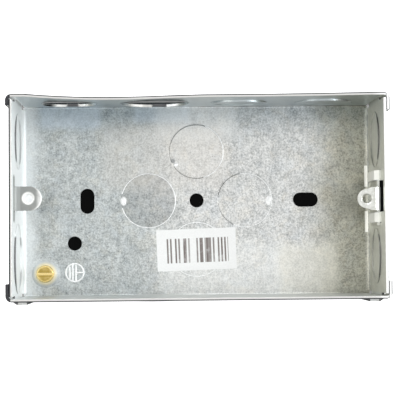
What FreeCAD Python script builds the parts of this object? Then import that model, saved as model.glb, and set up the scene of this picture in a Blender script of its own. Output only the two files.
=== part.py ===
import FreeCAD, Part
import os

import Sketcher

# A galvanised steel flush box for two accessories, lying on its back.
# The origin is the centre of the back's outer face, +Z comes out of the mouth,
# X runs along the box and Y across it. All sizes are in millimetres.

SIZES = {
    # Folded case
    "case_length": 133.0,  # outside, between the end walls
    "case_width": 73.0,  # outside, between the side walls
    "case_depth": 35.0,  # outside, back to rim
    "sheet": 1.0,  # sheet steel thickness
    "end_bend": 1.8,  # inside radius of the end wall bends
    "side_bend": 0.4,  # inside radius of the side wall bends
    "corner_bend": 1.2,  # inside radius of the corner tabs
    "overlap_gap": 0.25,  # air between a corner tab and the wall it laps
    "seam_gap": 0.9,  # from a wall's end to the inside of the wall that wraps it

    # Corner tabs
    "tab_level": 26.4,  # height where the rim tabs start
    "tab_break": 0.8,  # air between a rim tab and the lower tab under it
    "rim_tab_reach": 6.3,  # from the side wall's outside to the tab's end
    "short_tab_reach": 3.9,  # the same for the one short rim tab
    "lower_tab_reach": 5.2,  # from the end wall's outside to the tab's end
    "lower_tab_foot": 3.0,  # height where the lower tabs start

    # Dented side wall
    "dent_depth": 1.3,  # how far the rim is pushed in
    "dent_place": -32.0,  # where along the rim it is deepest
    "dent_tail": 0.5,  # how far the rim still leans in past the dent
    "dent_tail_place": 8.0,  # where along the rim the dent has faded
    "dent_at_knockouts": 0.33,  # how far the wall has leaned in at its knockouts
    "dent_end": 61.0,  # where the dent has run out, each side of the middle

    # Knockouts
    "small_knockout": 20.5,  # diameter
    "large_knockout": 25.5,  # diameter
    "knockout_cut": 0.12,  # width of the sheared line
    "knockout_tie": 2.2,  # width of the metal left to hold a blank
    "tie_root": 0.75,  # how far a pushed blank's tie runs into it
    "back_tie_turn": 28.0,  # degrees the back's upper and lower ties lie off the level
    "side_pitch": 31.0,  # between neighbours on a side wall
    "side_level": 14.6,  # height of the small ones on a side wall
    "side_large_level": 15.0,  # height of the large one on a side wall
    "end_spread": 21.4,  # from the middle of an end wall
    "end_level": 15.2,  # height of the small ones on an end wall
    "end_large_level": 15.9,  # height of the large one on an end wall
    "back_reach_x": 18.2,  # from the middle of the back, along the box
    "back_reach_y": 18.5,  # from the middle of the back, across the box
    "push_one": 13.0,  # degrees the first blank is pushed in
    "push_two": 13.0,  # degrees the second blank is pushed in
    "push_three": 4.0,  # degrees the third blank is pushed in
    "push_four": 2.5,  # degrees the fourth blank is pushed in
    "end_push": 3.2,  # degrees the end walls' blanks lean in at the top
    "side_push": 2.0,  # degrees the straight side's blanks lean out at the top
    "pry_width": 4.6,  # width of the pry notch in a pushed blank
    "pry_depth": 1.7,  # depth of the pry notch
    "pry_offset": 1.8,  # pry notch from the blank's middle

    # Fixing holes in the back
    "fixing_hole": 5.3,  # diameter, and width of the slots
    "fixing_slot": 9.4,  # length of the slots over all
    "upright_slot_x": -41.2,  # slot that runs across the box
    "level_slot_x": 41.2,  # slot that runs along the box
    "spare_hole_x": -46.0,  # lone round hole
    "spare_hole_y": -15.9,  # lone round hole

    # Lugs
    "lug_span": 120.6,  # between the two accessory screw holes
    "lug_level": 28.3,  # height of the lugs' front faces
    "lug_width": 8.6,  # fixed lug
    "lug_bend": 1.5,  # inside radius where the fixed lug leaves its wall
    "lug_tip": 4.3,  # radius of the fixed lug's end
    "lug_tip_lead": 0.35,  # fixed lug's end is struck this far past the hole
    "lug_window_reach": 11.8,  # length of the hole the fixed lug was cut from
    "thread_bore": 2.9,  # diameter of the M3.5 thread's crest
    "thread_collar": 4.8,  # outside diameter of the drawn collar
    "thread_drop": 1.3,  # how far the collar hangs under a lug
    "thread_entry": 0.8,  # radius of the drawn hole's mouth

    # Adjustable lug and its slideway
    "neck_width": 8.2,  # neck that rises between the straps
    "eye_radius": 3.45,  # round end of the adjustable lug
    "neck_bend": 1.6,  # inside radius of the adjustable lug's bend
    "wing_span": 19.0,  # wide part behind the straps
    "wing_foot": 12.0,  # height of the wide part's lower edge
    "wing_top": 24.5,  # height of the wide part's upper edge
    "slide_play": 0.08,  # running clearance each side of the wide part
    "slide_rest": -0.95,  # where the lug stands across the box
    "strap_gap": 11.3,  # clear width between the two straps
    "strap_width": 3.7,  # width of a strap
    "strap_slit": 0.15,  # cut along a strap's edge
    "strap_top": 27.3,  # height where the straps leave the wall
    "strap_foot": 9.2,  # height where the straps meet the wall again
    "window_top": 32.1,  # upper edge of the window behind the neck
    "window_foot": 14.0,  # lower edge of the window

    # Earth terminal
    "earth_from_end": 9.6,  # screw's middle from the outside of the left end wall
    "earth_from_side": 9.3,  # screw's middle from the outside of the straight side wall
    "boss_rise": 1.5,  # height of the pressed boss over the back
    "boss_base": 5.2,  # radius of the boss where it leaves the back
    "boss_crown": 3.7,  # radius of the boss's flat top
    "earth_bore": 3.9,  # diameter of the boss's thread
    "earth_collar": 5.4,  # outside diameter of the thread's collar
    "earth_drop": 0.9,  # how far that collar hangs under the boss
    "earth_play": 0.05,  # running clearance of the screw's thread
    "head_size": 6.5,  # diameter of the screw's head
    "head_height": 2.1,  # height of the screw's head
    "head_crown": 0.5,  # radius round the top of the head
    "head_slot": 1.0,  # width of the driver slot
    "head_slot_depth": 1.1,  # depth of the driver slot
    "screw_reach": 2.3,  # length of the shank under the head
    "screw_lead": 0.35,  # bevel at the shank's end

    # Paper label
    "label_length": 29.9,  # along the box
    "label_height": 15.6,  # across the box
    "paper": 0.12,  # thickness
    "label_x": -0.2,  # middle of the label
    "label_y": -18.5,  # middle of the label
    "label_turn": 1.8,  # degrees it is stuck askew
}

TOUCH = 1e-6  # two lengths this near are one
MATCH = 1e-4  # an edge this near its place is the one meant
WHOLE_TURN = 360  # degrees
START_TILT = 10  # degrees, before its formula drives it
START_TURN = 1  # degrees, before its formula drives it

doc = FreeCAD.newDocument("FlushBox")
Vector = FreeCAD.Vector


def fill_sheet(named):
    """Write every driving dimension to the spreadsheet, one row each."""
    table = doc.addObject("Spreadsheet::Sheet", "Sizes")
    for row, (alias, amount) in enumerate(named.items(), start=1):
        table.set(f"A{row}", alias)
        table.set(f"B{row}", str(amount))
        table.setAlias(f"B{row}", alias)
    doc.recompute()
    return table


sizes = fill_sheet(SIZES)


def expand(formula):
    """Turn bare size names in a formula into references to the sheet."""
    out = ""
    word = ""
    for sign in str(formula) + " ":
        if sign.isalnum() or sign == "_":
            word += sign
            continue
        out += f"Sizes.{word}" if word in SIZES else word
        word = ""
        out += sign
    return out.strip()


def number(formula):
    """The present value of a formula written with size names."""
    return float(sizes.evalExpression(expand(formula)))


def bind(item, path, formula):
    """Drive one property of a document object by a formula."""
    item.setExpression(path, expand(formula))


# Sketches: every corner is held by two formulas and every arc by its radius.

def origin_plane(body, role):
    """One of a body's own three origin planes."""
    return [item for item in body.Origin.OriginFeatures if item.Role == role][0]


def sketch_on(body, role, name, offset="0", origin=("0", "0"), tilt=None, tip=1):
    """A sketch parallel to an origin plane, moved and tilted by formulas.

    It tilts about its own level line: tip is 1 to lean towards the viewer, -1 away.
    """
    drawing = body.newObject("Sketcher::SketchObject", name)
    drawing.AttachmentSupport = [(origin_plane(body, role), "")]
    drawing.MapMode = "FlatFace"
    if tilt is not None:
        drawing.AttachmentOffset = FreeCAD.Placement(Vector(), FreeCAD.Rotation(Vector(tip, 0, 0), START_TILT))
        bind(drawing, ".AttachmentOffset.Rotation.Angle", f"({tilt}) * 1 deg")
    bind(drawing, ".AttachmentOffset.Base.x", origin[0])
    bind(drawing, ".AttachmentOffset.Base.y", origin[1])
    bind(drawing, ".AttachmentOffset.Base.z", offset)
    return drawing


def hold(drawing, kind, refs, name, formula):
    """Add one named dimension and bind it to its formula."""
    index = drawing.addConstraint(Sketcher.Constraint(kind, *refs, number(formula)))
    drawing.renameConstraint(index, name)
    bind(drawing, f"Constraints.{name}", formula)


def arc_between(start, end, radius, turn, long_way):
    """An arc from start to end; turn is 1 to the left and -1 to the right."""
    chord = end - start
    half = chord.Length / 2
    rise = max(radius * radius - half * half, 0.0) ** 0.5
    side = Vector(-chord.y, chord.x, 0).normalize() * turn
    if long_way:
        side = side * -1
    centre = (start + end) / 2 + side * rise
    circle = Part.Circle(centre, Vector(0, 0, 1), radius)
    first, last = (start, end) if turn > 0 else (end, start)
    return Part.ArcOfCircle(circle, circle.parameter(first), circle.parameter(last))


def outline(drawing, corners):
    """Draw a closed outline of lines and arcs.

    A corner is (x, y) or (x, y, radius, turn) or (x, y, radius, turn, "long"),
    where the radius and turn belong to the arc that leaves that corner.
    A half circle is held by its centre instead, which lies between its ends.
    """
    tag = f"g{drawing.GeometryCount}_"
    places = [Vector(number(corner[0]), number(corner[1]), 0) for corner in corners]
    count = len(corners)
    pieces = []
    for index, corner in enumerate(corners):
        start = places[index]
        end = places[(index + 1) % count]
        if len(corner) == 2:
            pieces.append((drawing.addGeometry(Part.LineSegment(start, end)), 1, 2, None))
            continue
        turn = corner[3]
        arc = arc_between(start, end, number(corner[2]), turn, len(corner) > 4)
        ends = (1, 2) if turn > 0 else (2, 1)
        pieces.append((drawing.addGeometry(arc), ends[0], ends[1], corner[2]))
    for index in range(count):
        here = pieces[index]
        following = pieces[(index + 1) % count]
        drawing.addConstraint(Sketcher.Constraint("Coincident", here[0], here[2], following[0], following[1]))
    for index, corner in enumerate(corners):
        geometry, start_point, end_point, radius = pieces[index]
        hold(drawing, "DistanceX", (-1, 1, geometry, start_point), f"{tag}x{index}", corner[0])
        hold(drawing, "DistanceY", (-1, 1, geometry, start_point), f"{tag}y{index}", corner[1])
        if radius is None:
            continue
        chord = places[(index + 1) % count] - places[index]
        if abs(chord.Length - 2 * number(radius)) > TOUCH:
            hold(drawing, "Radius", (geometry,), f"{tag}r{index}", radius)
        elif abs(chord.x) < TOUCH:
            hold(drawing, "DistanceX", (-1, 1, geometry, 3), f"{tag}c{index}", corner[0])
        else:
            hold(drawing, "DistanceY", (-1, 1, geometry, 3), f"{tag}c{index}", corner[1])


def mirror_x(corners):
    """The same outline on the other side of the sketch's vertical axis."""
    flipped = []
    for corner in corners:
        flipped.append((f"-({corner[0]})", corner[1]) + tuple(corner[2:]))
    return reverse(flipped)


def mirror_y(corners):
    """The same outline on the other side of the sketch's horizontal axis."""
    flipped = []
    for corner in corners:
        flipped.append((corner[0], f"-({corner[1]})") + tuple(corner[2:]))
    return reverse(flipped)


def reverse(corners):
    """Walk a mirrored outline backwards, so that its arcs keep their turn."""
    count = len(corners)
    walked = []
    for index in range(count):
        here = corners[-index % count]
        leaving = corners[(-index - 1) % count]
        walked.append((here[0], here[1]) + tuple(leaving[2:]))
    return walked


def ring(drawing, x, y, radius):
    """A full circle held by its centre and radius."""
    tag = f"g{drawing.GeometryCount}_"
    centre = Vector(number(x), number(y), 0)
    geometry = drawing.addGeometry(Part.Circle(centre, Vector(0, 0, 1), number(radius)))
    hold(drawing, "DistanceX", (-1, 1, geometry, 3), tag + "x", x)
    hold(drawing, "DistanceY", (-1, 1, geometry, 3), tag + "y", y)
    hold(drawing, "Radius", (geometry,), tag + "r", radius)


# Features, each bound to its sketch and to a formula.

def extrude(body, kind, name, drawing, length, both_ways=False, backwards=False):
    """A Pad or a Pocket of a sketch."""
    feature = body.newObject(f"PartDesign::{kind}", name)
    feature.Profile = drawing
    bind(feature, "Length", length)
    feature.Midplane = both_ways
    feature.Reversed = backwards
    drawing.Visibility = False
    doc.recompute()
    return feature


def turn_round(body, name, drawing):
    """A full revolution of a sketch about its own vertical axis."""
    feature = body.newObject("PartDesign::Revolution", name)
    feature.Profile = drawing
    feature.ReferenceAxis = (drawing, ["V_Axis"])
    feature.Angle = WHOLE_TURN
    doc.recompute()
    return feature


def soften(body, name, radius, wanted):
    """Round every edge of the body's present shape that a test picks."""
    base = body.Tip
    names = []
    for index, edge in enumerate(base.Shape.Edges):
        if wanted(edge):
            names.append(f"Edge{index + 1}")
    feature = body.newObject("PartDesign::Fillet", name)
    feature.Base = (base, names)
    bind(feature, "Radius", radius)
    doc.recompute()
    return feature


def is_circle(edge, radius, level):
    """True for a whole or part circle of this radius at this height."""
    curve = edge.Curve
    if not isinstance(curve, Part.Circle):
        return False
    return abs(curve.Radius - radius) < MATCH and abs(curve.Center.z - level) < MATCH


CUT_THROUGH = "4 * sheet"

# The folded case

case = doc.addObject("PartDesign::Body", "box_shell")
case.Label = "box_shell"

HALF_LENGTH = "case_length / 2"
HALF_WIDTH = "case_width / 2"
BACK_END = "(case_length / 2 - sheet - end_bend)"
SIDE_END = "(case_length / 2 - sheet - seam_gap)"
END_SIDE = "(case_width / 2 - sheet - seam_gap)"
EARTH_X = "-(case_length / 2 - earth_from_end)"
EARTH_Y = "-(case_width / 2 - earth_from_side)"


def build_end_walls():
    """The back and both end walls, folded from one strip."""
    drawing = sketch_on(case, "XZ_Plane", "end_wall_fold")
    outer = "(end_bend + sheet)"
    outline(drawing, [
        (f"-{BACK_END}", "0"),
        (BACK_END, "0", outer, 1),
        (HALF_LENGTH, outer),
        (HALF_LENGTH, "case_depth"),
        (f"{HALF_LENGTH} - sheet", "case_depth"),
        (f"{HALF_LENGTH} - sheet", outer, "end_bend", -1),
        (BACK_END, "sheet"),
        (f"-{BACK_END}", "sheet", "end_bend", -1),
        (f"-({HALF_LENGTH} - sheet)", outer),
        (f"-({HALF_LENGTH} - sheet)", "case_depth"),
        (f"-{HALF_LENGTH}", "case_depth"),
        (f"-{HALF_LENGTH}", outer, outer, 1),
    ])
    extrude(case, "Pad", "end_walls", drawing, f"2 * {END_SIDE}", both_ways=True)


def build_side_folds():
    """The back's long edges, folded up between the corners."""
    drawing = sketch_on(case, "YZ_Plane", "side_wall_fold")
    outer = "(side_bend + sheet)"
    edge = f"({HALF_WIDTH} - {outer})"
    fold = [
        (END_SIDE, "0"),
        (edge, "0", outer, 1),
        (HALF_WIDTH, outer),
        (HALF_WIDTH, "lower_tab_foot"),
        (f"{HALF_WIDTH} - sheet", "lower_tab_foot"),
        (f"{HALF_WIDTH} - sheet", outer, "side_bend", -1),
        (edge, "sheet"),
        (END_SIDE, "sheet"),
    ]
    outline(drawing, fold)
    outline(drawing, mirror_x(fold))
    extrude(case, "Pad", "side_folds", drawing, f"2 * {SIDE_END}", both_ways=True)


def build_corner_floors():
    """The back's four corners, carried out between the folds."""
    reach = f"({HALF_LENGTH} - sheet - overlap_gap)"
    corner = [
        (SIDE_END, END_SIDE),
        (reach, END_SIDE),
        (reach, f"{HALF_WIDTH} - sheet"),
        (SIDE_END, f"{HALF_WIDTH} - sheet"),
    ]
    drawing = sketch_on(case, "XY_Plane", "corner_floor_plan")
    for place in (corner, mirror_x(corner), mirror_y(corner), mirror_x(mirror_y(corner))):
        outline(drawing, place)
    extrude(case, "Pad", "corner_floors", drawing, "sheet")


def build_straight_side():
    """The side wall that is still flat."""
    drawing = sketch_on(case, "XY_Plane", "straight_side_plan", "lower_tab_foot")
    outline(drawing, [
        (f"-{SIDE_END}", f"-{HALF_WIDTH}"),
        (SIDE_END, f"-{HALF_WIDTH}"),
        (SIDE_END, f"-({HALF_WIDTH} - sheet)"),
        (f"-{SIDE_END}", f"-({HALF_WIDTH} - sheet)"),
    ])
    extrude(case, "Pad", "straight_side", drawing, "case_depth - lower_tab_foot")


def side_strip(drawing, leaning):
    """The dented side wall cut across, either at its straight foot or at its leaning rim."""
    lean = "dent_depth" if leaning else "0"
    tail = "dent_tail" if leaning else "0"
    middle = f"(({lean} + {tail}) / 2)"
    reach = "(dent_place + dent_end)"
    fade = "((dent_tail_place - dent_place) / 2)"
    stretch = "(dent_end - dent_tail_place)"
    bends = [
        ("-dent_end", "0", dent_radius(reach, "dent_depth"), 1),
        ("dent_place", lean, dent_radius(fade, "((dent_depth - dent_tail) / 2)"), 1),
        (f"dent_place + {fade}", middle, dent_radius(fade, "((dent_depth - dent_tail) / 2)"), -1),
        ("dent_tail_place", tail, dent_radius(stretch, "dent_tail"), 1),
        ("dent_end", "0", None, None),
    ]
    inner = [(f"-{SIDE_END}", f"{HALF_WIDTH} - sheet")]
    outer = [(SIDE_END, HALF_WIDTH)]
    for index, (x, depth, radius, turn) in enumerate(bends):
        curved = leaning and radius is not None
        inner.append((x, f"{HALF_WIDTH} - sheet - {depth}") + ((radius, turn) if curved else ()))
        x_back, depth_back = bends[-1 - index][:2]
        leaving = bends[-2 - index] if index < len(bends) - 1 else None
        curved = leaning and leaving is not None
        outer.append((x_back, f"{HALF_WIDTH} - {depth_back}") + ((leaving[2], -leaving[3]) if curved else ()))
    inner.append((SIDE_END, f"{HALF_WIDTH} - sheet"))
    outer.append((f"-{SIDE_END}", HALF_WIDTH))
    outline(drawing, inner + outer)


def dent_radius(run, rise):
    """Radius of an arc that starts level and climbs by a rise over a run."""
    return f"({run} * {run} + {rise} * {rise}) / (2 * {rise})"


def build_dented_side():
    """The side wall whose rim is pushed in, lofted from its straight fold."""
    foot = sketch_on(case, "XY_Plane", "dented_side_foot", "lower_tab_foot")
    side_strip(foot, leaning=False)
    rim = sketch_on(case, "XY_Plane", "dented_side_rim", "case_depth")
    side_strip(rim, leaning=True)
    loft = case.newObject("PartDesign::AdditiveLoft", "dented_side")
    loft.Profile = foot
    loft.Sections = [rim]
    loft.Ruled = True
    doc.recompute()


def rim_tab(reach):
    """A side wall's tab, carried round the corner over the end wall."""
    lap = f"{HALF_LENGTH} + overlap_gap"
    centre_x = f"{lap} - corner_bend"
    centre_y = f"({HALF_WIDTH} - sheet - corner_bend)"
    return [
        (f"{SIDE_END} - sheet", f"{HALF_WIDTH} - sheet"),
        (centre_x, f"{HALF_WIDTH} - sheet", "corner_bend", -1),
        (lap, centre_y),
        (lap, f"{HALF_WIDTH} - {reach}"),
        (f"{lap} + sheet", f"{HALF_WIDTH} - {reach}"),
        (f"{lap} + sheet", centre_y, "corner_bend + sheet", 1),
        (centre_x, HALF_WIDTH),
        (f"{SIDE_END} - sheet", HALF_WIDTH),
    ]


def lower_tab():
    """An end wall's tab, carried round the corner over the side wall."""
    lap = f"{HALF_WIDTH} + overlap_gap"
    centre_x = f"({HALF_LENGTH} - sheet - corner_bend)"
    centre_y = f"{lap} - corner_bend"
    return [
        (f"{HALF_LENGTH} - sheet", f"{END_SIDE} - sheet"),
        (HALF_LENGTH, f"{END_SIDE} - sheet"),
        (HALF_LENGTH, centre_y, "corner_bend + sheet", 1),
        (centre_x, f"{lap} + sheet"),
        (f"{HALF_LENGTH} - lower_tab_reach", f"{lap} + sheet"),
        (f"{HALF_LENGTH} - lower_tab_reach", lap),
        (centre_x, lap, "corner_bend", -1),
        (f"{HALF_LENGTH} - sheet", centre_y),
    ]


def build_corner_tabs():
    """Two lapped tabs at each corner: one at the rim and one under it."""
    high = sketch_on(case, "XY_Plane", "rim_tab_plan", "tab_level")
    outline(high, rim_tab("rim_tab_reach"))
    outline(high, mirror_x(rim_tab("short_tab_reach")))
    outline(high, mirror_y(rim_tab("rim_tab_reach")))
    outline(high, mirror_x(mirror_y(rim_tab("rim_tab_reach"))))
    extrude(case, "Pad", "rim_tabs", high, "case_depth - tab_level")
    low = sketch_on(case, "XY_Plane", "lower_tab_plan", "lower_tab_foot")
    for corner in (lower_tab(), mirror_x(lower_tab()), mirror_y(lower_tab()), mirror_x(mirror_y(lower_tab()))):
        outline(low, corner)
    extrude(case, "Pad", "lower_tabs", low, "tab_level - tab_break - lower_tab_foot")


# Knockouts: a blank sheared out of its wall and left hanging by two ties.

WALLS = {
    "back": ("XY_Plane", "sheet / 2"),
    "side_front": ("XZ_Plane", "case_width / 2 - sheet / 2"),
    "side_rear": ("XZ_Plane", "-(case_width / 2 - sheet / 2 - dent_at_knockouts)"),
    "end_left": ("YZ_Plane", "-(case_length / 2 - sheet / 2)"),
    "end_right": ("YZ_Plane", "case_length / 2 - sheet / 2"),
}


def shifted(corners, x, y):
    """The same outline moved by two formulas."""
    return [(f"{x} + ({corner[0]})", f"{y} + ({corner[1]})") + tuple(corner[2:]) for corner in corners]


def turned(corners, degrees):
    """The same outline turned to the left about its centre."""
    cosine = f"cos({degrees} * 1 deg)"
    sine = f"sin({degrees} * 1 deg)"
    walked = []
    for corner in corners:
        x = f"({corner[0]}) * {cosine} - ({corner[1]}) * {sine}"
        y = f"({corner[0]}) * {sine} + ({corner[1]}) * {cosine}"
        walked.append((x, y) + tuple(corner[2:]))
    return walked


def half_shear(size):
    """One C-shaped cut: the upper half of the sheared line round a blank."""
    outer = f"({size} / 2)"
    inner = f"({size} / 2 - knockout_cut)"
    tie = "(knockout_tie / 2)"
    outer_reach = f"sqrt({outer} * {outer} - {tie} * {tie})"
    inner_reach = f"sqrt({inner} * {inner} - {tie} * {tie})"
    return [
        (outer_reach, tie, outer, 1),
        (f"-{outer_reach}", tie),
        (f"-{inner_reach}", tie, inner, -1),
        (inner_reach, tie),
    ]


def flush_knockouts(name, wall, places):
    """Shear blanks out of one wall and leave them level with it."""
    role, depth = WALLS[wall]
    drawing = sketch_on(case, role, f"{name}_lines", depth)
    for x, y, size, turn in places:
        first = half_shear(size)
        for half in (first, mirror_y(first)):
            outline(drawing, shifted(turned(half, turn), x, y))
    extrude(case, "Pocket", name, drawing, CUT_THROUGH, both_ways=True)


def blank_outline(blank):
    """The blank of a pushed knockout, with its pry notch."""
    left = "(pry_offset - pry_width / 2)"
    right = "(pry_offset + pry_width / 2)"
    return [
        (left, f"sqrt({blank} * {blank} - {left} * {left})", blank, 1, "long"),
        (right, f"sqrt({blank} * {blank} - {right} * {right})"),
        (right, f"{blank} - pry_depth"),
        (left, f"{blank} - pry_depth"),
    ]


def tie_outline(size):
    """The tie on the right of a pushed blank, from its wall into the blank."""
    inner = f"{size} / 2 - tie_root"
    outer = f"{size} / 2 + knockout_cut"
    return [
        (inner, "-knockout_tie / 2"),
        (outer, "-knockout_tie / 2"),
        (outer, "knockout_tie / 2"),
        (inner, "knockout_tie / 2"),
    ]


def pushed_knockouts(name, wall, rows, tip=1):
    """Blanks pushed out of line with their wall and turned on their ties.

    A row is (push, level, blanks) and a blank is (x, size, notched). The blanks
    of a row lean together about the row's own level line.
    """
    role, depth = WALLS[wall]
    holes = sketch_on(case, role, f"{name}_holes_plan", depth)
    ties = sketch_on(case, role, f"{name}_ties_plan", depth)
    for push, level, blanks in rows:
        for x, size, notched in blanks:
            ring(holes, x, level, f"{size} / 2")
            outline(ties, shifted(tie_outline(size), x, level))
            outline(ties, shifted(mirror_x(tie_outline(size)), x, level))
    extrude(case, "Pocket", f"{name}_holes", holes, CUT_THROUGH, both_ways=True)
    extrude(case, "Pad", f"{name}_ties", ties, "sheet", both_ways=True)
    for index, (push, level, blanks) in enumerate(rows):
        row = f"{name}_row_{index + 1}"
        drawing = sketch_on(case, role, f"{row}_plan", depth, ("0", level), tilt=push, tip=tip)
        for x, size, notched in blanks:
            blank = f"({size} / 2 - knockout_cut)"
            if notched:
                outline(drawing, shifted(blank_outline(blank), x, "0"))
            else:
                ring(drawing, x, "0", blank)
        extrude(case, "Pad", row, drawing, "sheet", both_ways=True)


def build_knockouts():
    """Four in the back, four in each side wall and two in each end wall."""
    flush_knockouts("back_knockouts", "back", [
        ("0", "back_reach_y", "small_knockout", "back_tie_turn"),
        ("0", "-back_reach_y", "small_knockout", "back_tie_turn"),
        ("-back_reach_x", "0", "small_knockout", "0"),
        ("back_reach_x", "0", "small_knockout", "0"),
    ])
    pushed_knockouts("left_end_knockouts", "end_left", [
        ("end_push", "end_large_level", [("-end_spread", "large_knockout", False)]),
        ("end_push", "end_level", [("end_spread", "small_knockout", False)]),
    ])
    right_pair = [("-end_spread", "small_knockout", False), ("end_spread", "small_knockout", False)]
    pushed_knockouts("right_end_knockouts", "end_right", [("end_push", "end_level", right_pair)], tip=-1)
    first = "-3 * side_pitch / 2"
    second = "-side_pitch / 2"
    third = "side_pitch / 2"
    fourth = "3 * side_pitch / 2"
    pushed_knockouts("dented_side_knockouts", "side_rear", [
        ("push_one", "side_level", [(first, "small_knockout", True)]),
        ("push_two", "side_large_level", [(second, "large_knockout", True)]),
        ("push_three", "side_level", [(third, "small_knockout", False)]),
        ("push_four", "side_level", [(fourth, "small_knockout", False)]),
    ])
    small_blanks = [(place, "small_knockout", False) for place in (first, third, fourth)]
    pushed_knockouts("straight_side_knockouts", "side_front", [
        ("side_push", "side_level", small_blanks),
        ("side_push", "side_large_level", [(second, "large_knockout", False)]),
    ])


def slot_outline(x, y, upright):
    """A round-ended fixing slot."""
    half = "((fixing_slot - fixing_hole) / 2)"
    radius = "fixing_hole / 2"
    if upright:
        return [
            (f"{x} + {radius}", f"{y} - {half}"),
            (f"{x} + {radius}", f"{y} + {half}", radius, 1),
            (f"{x} - {radius}", f"{y} + {half}"),
            (f"{x} - {radius}", f"{y} - {half}", radius, 1),
        ]
    return [
        (f"{x} - {half}", f"{y} - {radius}"),
        (f"{x} + {half}", f"{y} - {radius}", radius, 1),
        (f"{x} + {half}", f"{y} + {radius}"),
        (f"{x} - {half}", f"{y} + {radius}", radius, 1),
    ]


def build_fixing_holes():
    """Two slots at right angles and two round holes, all for wall screws."""
    drawing = sketch_on(case, "XY_Plane", "fixing_hole_plan", "sheet / 2")
    outline(drawing, slot_outline("upright_slot_x", "0", True))
    outline(drawing, slot_outline("level_slot_x", "0", False))
    ring(drawing, "0", "0", "fixing_hole / 2")
    ring(drawing, "spare_hole_x", "spare_hole_y", "fixing_hole / 2")
    extrude(case, "Pocket", "fixing_holes", drawing, CUT_THROUGH, both_ways=True)


def build_fixed_lug():
    """The lug that is cut from the left end wall and bent in."""
    top = "(lug_level + lug_bend)"
    role, depth = WALLS["end_left"]
    window = sketch_on(case, role, "lug_window_line", depth)
    low = f"({top} - lug_window_reach + lug_width / 2)"
    outline(window, [
        ("lug_width / 2", low),
        ("lug_width / 2", top),
        ("-lug_width / 2", top),
        ("-lug_width / 2", low, "lug_width / 2", 1),
    ])
    extrude(case, "Pocket", "lug_window", window, CUT_THROUGH, both_ways=True)
    side = sketch_on(case, "XZ_Plane", "fixed_lug_fold")
    tip_x = "-(lug_span / 2 - lug_tip_lead)"
    wall = f"-({HALF_LENGTH} - sheet)"
    outline(side, [
        (f"-{HALF_LENGTH}", top, "lug_bend + sheet", 1),
        (f"{wall} + lug_bend", "lug_level - sheet"),
        (tip_x, "lug_level - sheet"),
        (tip_x, "lug_level"),
        (f"{wall} + lug_bend", "lug_level", "lug_bend", -1),
        (wall, top),
        (wall, f"{top} + sheet"),
        (f"-{HALF_LENGTH}", f"{top} + sheet"),
    ])
    extrude(case, "Pad", "fixed_lug", side, "lug_width", both_ways=True)
    end = sketch_on(case, "XY_Plane", "fixed_lug_end", "lug_level")
    outline(end, [
        (tip_x, "-lug_tip", "lug_tip", 1),
        (tip_x, "lug_tip"),
    ])
    extrude(case, "Pad", "fixed_lug_tip", end, "sheet", backwards=True)
    build_thread(case, "fixed_lug", "-lug_span / 2")


def build_thread(body, name, x):
    """A hole drawn through a lug, with its collar hanging under the sheet."""
    collar = sketch_on(body, "XY_Plane", f"{name}_collar_plan", "lug_level - sheet / 2")
    ring(collar, x, "0", "thread_collar / 2")
    extrude(body, "Pad", f"{name}_collar", collar, "sheet / 2 + thread_drop", backwards=True)
    bore = sketch_on(body, "XY_Plane", f"{name}_bore_plan", "lug_level")
    ring(bore, x, "0", "thread_bore / 2")
    extrude(body, "Pocket", f"{name}_bore", bore, "2 * (sheet + thread_drop) + sheet", both_ways=True)
    radius = number("thread_bore / 2")
    level = number("lug_level")
    soften(body, f"{name}_entry", "thread_entry", lambda edge: is_circle(edge, radius, level))


def strap_section():
    """A strap seen from above: lanced from the wall and set inwards."""
    wall = f"({HALF_LENGTH} - sheet)"
    stand = "(sheet + 2 * slide_play)"
    slant = "sqrt(2) * sheet"
    return [
        (wall, "strap_top"),
        (f"{wall} - {stand} - sheet", f"strap_top - {stand} - sheet"),
        (f"{wall} - {stand} - sheet", f"strap_foot + {stand} + sheet"),
        (wall, "strap_foot"),
        (HALF_LENGTH, "strap_foot"),
        (HALF_LENGTH, f"strap_foot + {slant} - sheet"),
        (f"{wall} - {stand}", f"strap_foot + {slant} + {stand}"),
        (f"{wall} - {stand}", f"strap_top - {slant} - {stand}"),
        (HALF_LENGTH, f"strap_top - {slant} + sheet"),
        (HALF_LENGTH, "strap_top"),
    ]


def build_slideway():
    """The window and the two straps that hold the adjustable lug."""
    role, depth = WALLS["end_right"]
    drawing = sketch_on(case, role, "slide_window_line", depth)
    outline(drawing, [
        ("-strap_gap / 2", "window_foot"),
        ("strap_gap / 2", "window_foot"),
        ("strap_gap / 2", "window_top"),
        ("-strap_gap / 2", "window_top"),
    ])
    extrude(case, "Pocket", "slide_window", drawing, CUT_THROUGH, both_ways=True)
    inner = "(strap_gap / 2)"
    outer = "(strap_gap / 2 + strap_width)"
    lance = [
        (f"{inner} - strap_slit", "strap_foot"),
        (f"{outer} + strap_slit", "strap_foot"),
        (f"{outer} + strap_slit", "strap_top"),
        (f"{inner} - strap_slit", "strap_top"),
    ]
    holes = sketch_on(case, role, "strap_lance_line", depth)
    outline(holes, lance)
    outline(holes, mirror_x(lance))
    extrude(case, "Pocket", "strap_lances", holes, CUT_THROUGH, both_ways=True)
    section = sketch_on(case, "XZ_Plane", "strap_fold", f"{inner} + strap_width / 2")
    outline(section, strap_section())
    strap = extrude(case, "Pad", "near_strap", section, "strap_width", both_ways=True)
    straps = case.newObject("PartDesign::Mirrored", "both_straps")
    straps.Originals = [strap]
    straps.MirrorPlane = (origin_plane(case, "XZ_Plane"), [""])
    case.Tip = straps
    doc.recompute()


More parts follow.
